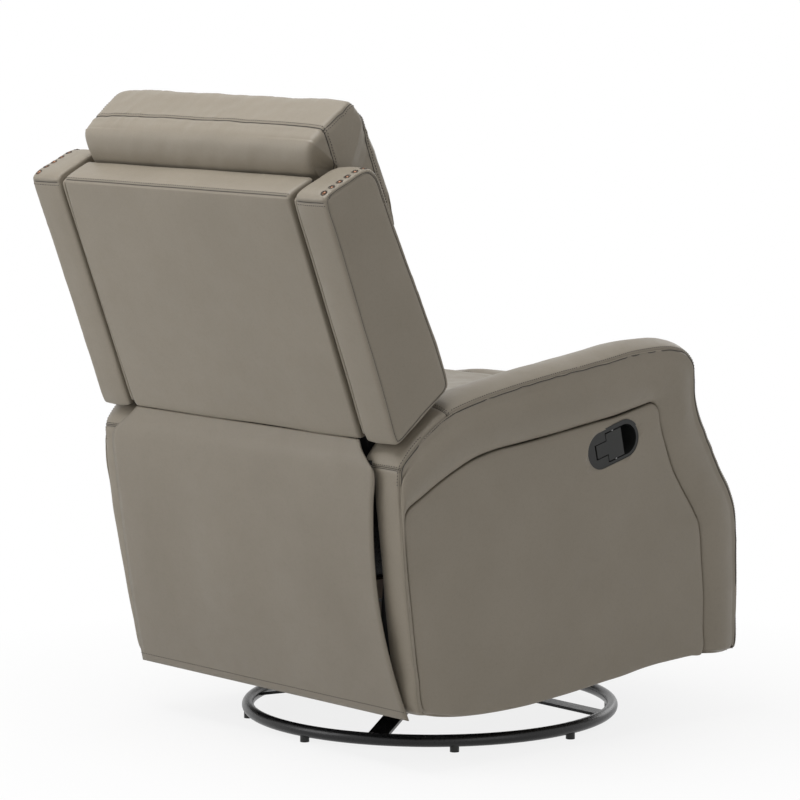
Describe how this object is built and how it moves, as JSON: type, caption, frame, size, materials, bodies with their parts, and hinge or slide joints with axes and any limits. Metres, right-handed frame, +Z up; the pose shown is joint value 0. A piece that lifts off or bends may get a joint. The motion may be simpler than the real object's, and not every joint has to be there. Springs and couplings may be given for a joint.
{
  "type": "swivel rocker recliner",
  "caption": "Leather swivel rocker recliner with padded arms, winged back, headrest pillow, folding footrest and release handle, standing on a round steel base.",
  "frame": {"origin": "on the floor, on the swivel axis", "axes": "+Z up, -Y the way the sitter faces, +X towards the sitter's left, so the handle is on the -X side"},
  "size_m": [0.7566, 0.9121, 1.0458],
  "materials": {
    "leather_cover": "satin",
    "black_steel": "satin",
    "plated_steel": "satin",
    "frame_wood": "matte",
    "dark_plastic": "satin",
    "webbing_fabric": "matte",
    "bronze_nails": "satin"
  },
  "bodies": {
    "base": {"base_ring": "black_steel", "base_spokes": "black_steel", "base_glides": "dark_plastic", "swivel_lower_plate": "black_steel", "bearing_balls": "plated_steel", "swivel_bolt": "plated_steel"},
    "platform": {"swivel_upper_plate": "black_steel", "platform_crossbars": "black_steel", "rocker_rails": "frame_wood", "lower_spring_shelves": "black_steel"},
    "seat_frame": {"rocker_springs_left": "plated_steel", "rocker_springs_right": "plated_steel", "rocker_cam_left": "frame_wood", "rocker_cam_right": "frame_wood", "upper_spring_shelves": "black_steel", "side_plate_left": "black_steel", "side_plate_right": "black_steel", "seat_side_rails": "frame_wood", "seat_cross_rails": "frame_wood", "low_rear_rail": "frame_wood", "seat_springs": "plated_steel", "frame_bolts": "plated_steel", "seat_cushion": "leather_cover", "arm_board_left": "leather_cover", "arm_board_right": "leather_cover", "arm_pad_left": "leather_cover", "arm_pad_right": "leather_cover", "arm_panel_left": "leather_cover", "arm_panel_right": "leather_cover", "handle_cup": "dark_plastic", "release_cable": "webbing_fabric", "recline_pins": "plated_steel", "back_skirt": "leather_cover", "lift_pins": "plated_steel"},
    "handle": {"handle_flap": "dark_plastic", "handle_pin": "plated_steel"},
    "back": {"back_posts": "frame_wood", "back_rails": "frame_wood", "back_webbing": "webbing_fabric", "back_bracket_left": "black_steel", "back_bracket_right": "black_steel", "back_panel": "leather_cover", "back_cushion": "leather_cover", "headrest_pillow": "leather_cover", "wing_board_left": "frame_wood", "wing_board_right": "frame_wood", "wing_left": "leather_cover", "wing_right": "leather_cover", "nailheads_left": "bronze_nails", "nailheads_right": "bronze_nails"},
    "lift_links": {"lift_link_left": "black_steel", "lift_link_right": "black_steel", "drive_tube": "black_steel"},
    "reach_links": {"reach_link_left": "black_steel", "reach_link_right": "black_steel", "reach_pins": "plated_steel"},
    "footrest": {"footrest_bracket_left": "black_steel", "footrest_bracket_right": "black_steel", "footrest_board": "frame_wood", "footrest_pad": "leather_cover"}
  },
  "joints": [
    {"name": "swivel", "type": "hinge", "parent": "base", "child": "platform", "pos_m": [0, 0, 0], "axis": [0, 0, 1], "continuous": true},
    {"name": "rock", "type": "hinge", "parent": "platform", "child": "seat_frame", "pos_m": [0, 0, 0.4048], "axis": [-1, 0, 0], "range_deg": [-8, 8], "stiffness_Nm_per_rad": 600, "deforming": ["rocker_springs_left", "rocker_springs_right"]},
    {"name": "recline", "type": "hinge", "parent": "seat_frame", "child": "back", "pos_m": [0, 0.24, 0.395], "axis": [-1, 0, 0], "range_deg": [0, 38], "deforming": ["back_skirt"]},
    {"name": "footrest_lift", "type": "hinge", "parent": "seat_frame", "child": "lift_links", "pos_m": [0, -0.23, 0.33], "axis": [-1, 0, 0], "range_deg": [0, 106.2]},
    {"name": "footrest_reach", "type": "hinge", "parent": "lift_links", "child": "reach_links", "pos_m": [0, -0.16291, 0.14159], "axis": [-1, 0, 0], "range_deg": [-132.8, 0]},
    {"name": "footrest_tilt", "type": "hinge", "parent": "reach_links", "child": "footrest", "pos_m": [0, -0.28522, 0.29983], "axis": [-1, 0, 0], "range_deg": [0, 116.6]},
    {"name": "handle_turn", "type": "hinge", "parent": "seat_frame", "child": "handle", "pos_m": [-0.37111, -0.06191, 0.48712], "axis": [0.0489, -0.2588, -0.9647], "range_deg": [0, 28], "stiffness_Nm_per_rad": 0.8}
  ],
  "couplings": [
    {"joint": "footrest_reach", "follows": "footrest_lift", "ratio": -1.25},
    {"joint": "footrest_tilt", "follows": "footrest_lift", "ratio": 1.0975}
  ]
}
